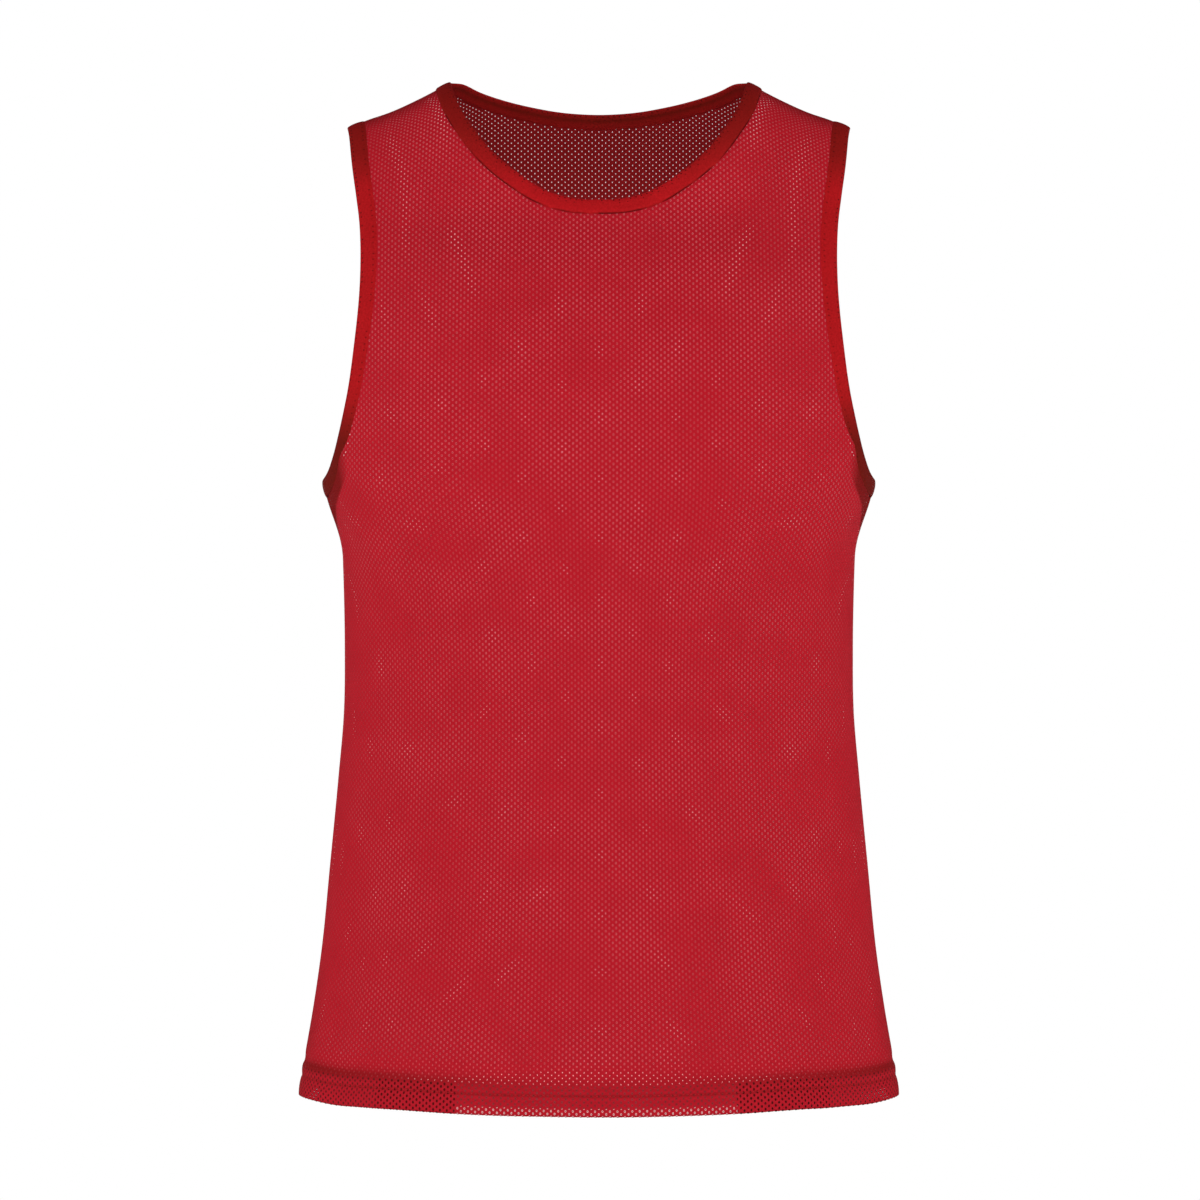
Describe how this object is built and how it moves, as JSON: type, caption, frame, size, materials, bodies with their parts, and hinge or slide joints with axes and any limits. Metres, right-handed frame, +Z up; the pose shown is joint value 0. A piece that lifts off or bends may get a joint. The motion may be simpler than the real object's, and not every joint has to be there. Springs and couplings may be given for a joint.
{
  "type": "mesh training bib",
  "caption": "Sleeveless mesh training bib in its worn, hollow shape: round neck with a folded band, bound armholes, flared body and a turned-up hem.",
  "frame": {"origin": "where the wearer's shoulders hold the bib: midway between the neck ends of the two shoulder seams", "axes": "+Z up, -Y out of the front, +X towards the wearer's left side"},
  "size_m": [0.4158, 0.2276, 0.7019],
  "materials": {
    "mesh_cloth": "red warp-knit mesh with small round holes, soft sheen",
    "band_cloth": "the same red mesh folded double, denser and darker"
  },
  "bodies": {
    "root": {"front_panel": "mesh_cloth", "back_panel": "mesh_cloth", "neck_band": "band_cloth", "armhole_band_left": "band_cloth", "armhole_band_right": "band_cloth"}
  },
  "joints": []
}
